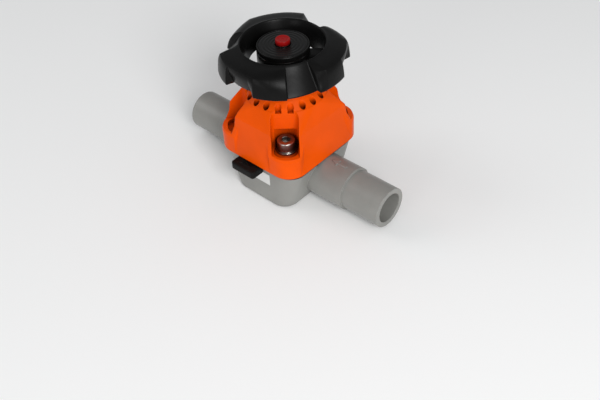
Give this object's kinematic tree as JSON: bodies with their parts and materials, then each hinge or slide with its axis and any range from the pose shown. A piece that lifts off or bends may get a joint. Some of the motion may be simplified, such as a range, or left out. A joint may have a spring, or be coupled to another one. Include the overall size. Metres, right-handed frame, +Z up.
{
  "type": "diaphragm valve",
  "caption": "Weir diaphragm valve for small plastic pipe: spigot body, bolted orange bonnet, petal-shaped black handwheel and rising red position indicator.",
  "frame": {"origin": "centre of the flat foot under the valve body, below the stem", "axes": "+X along the flow, out of the inlet spigot; +Z up along the stem; -Y towards the diaphragm's identification tab"},
  "size_m": [0.124, 0.0605, 0.0791],
  "materials": {
    "body_plastic": "moulded warm grey thermoplastic, semi-matt",
    "bonnet_plastic": "moulded signal orange, satin gloss",
    "wheel_plastic": "moulded black, satin gloss",
    "diaphragm_rubber": "black rubber",
    "compressor_plastic": "glass-filled dark grey plastic",
    "stainless": "stainless steel",
    "stem_steel": "turned and polished stainless steel",
    "brass": "turned brass",
    "indicator_red": "moulded red",
    "label_white": "blank printed label stock"
  },
  "bodies": {
    "root": {"valve_body": "body_plastic", "body_inserts": "brass", "base_inserts": "brass", "body_label": "label_white", "diaphragm": "diaphragm_rubber", "bonnet": "bonnet_plastic", "bonnet_screws": "stainless", "screw_washers": "stainless", "lower_thrust_washer": "stainless", "upper_thrust_washer": "stainless"},
    "handwheel_group": {"handwheel": "wheel_plastic", "hub_cover": "wheel_plastic", "spindle_nut": "brass", "nut_oring": "diaphragm_rubber", "stem_wiper": "diaphragm_rubber", "wheel_retaining_ring": "stainless"},
    "stem_group": {"stem": "stem_steel", "compressor": "compressor_plastic", "compressor_pin": "stainless", "diaphragm_stud": "stainless", "stem_stop_sleeve": "stainless", "indicator_cap": "indicator_red"}
  },
  "joints": [
    {"name": "handwheel_turn", "type": "hinge", "parent": "root", "child": "handwheel_group", "pos_m": [0, 0, 0.07], "axis": [0, 0, 1], "range_deg": [-1350, 0]},
    {"name": "stem_lift", "type": "slide", "parent": "root", "child": "stem_group", "axis": [0, 0, 1], "range_m": [-0.0075, 0], "deforming": ["diaphragm"]}
  ],
  "couplings": [
    {"joint": "stem_lift", "follows": "handwheel_turn", "m_per_rad": 0.0003183}
  ]
}
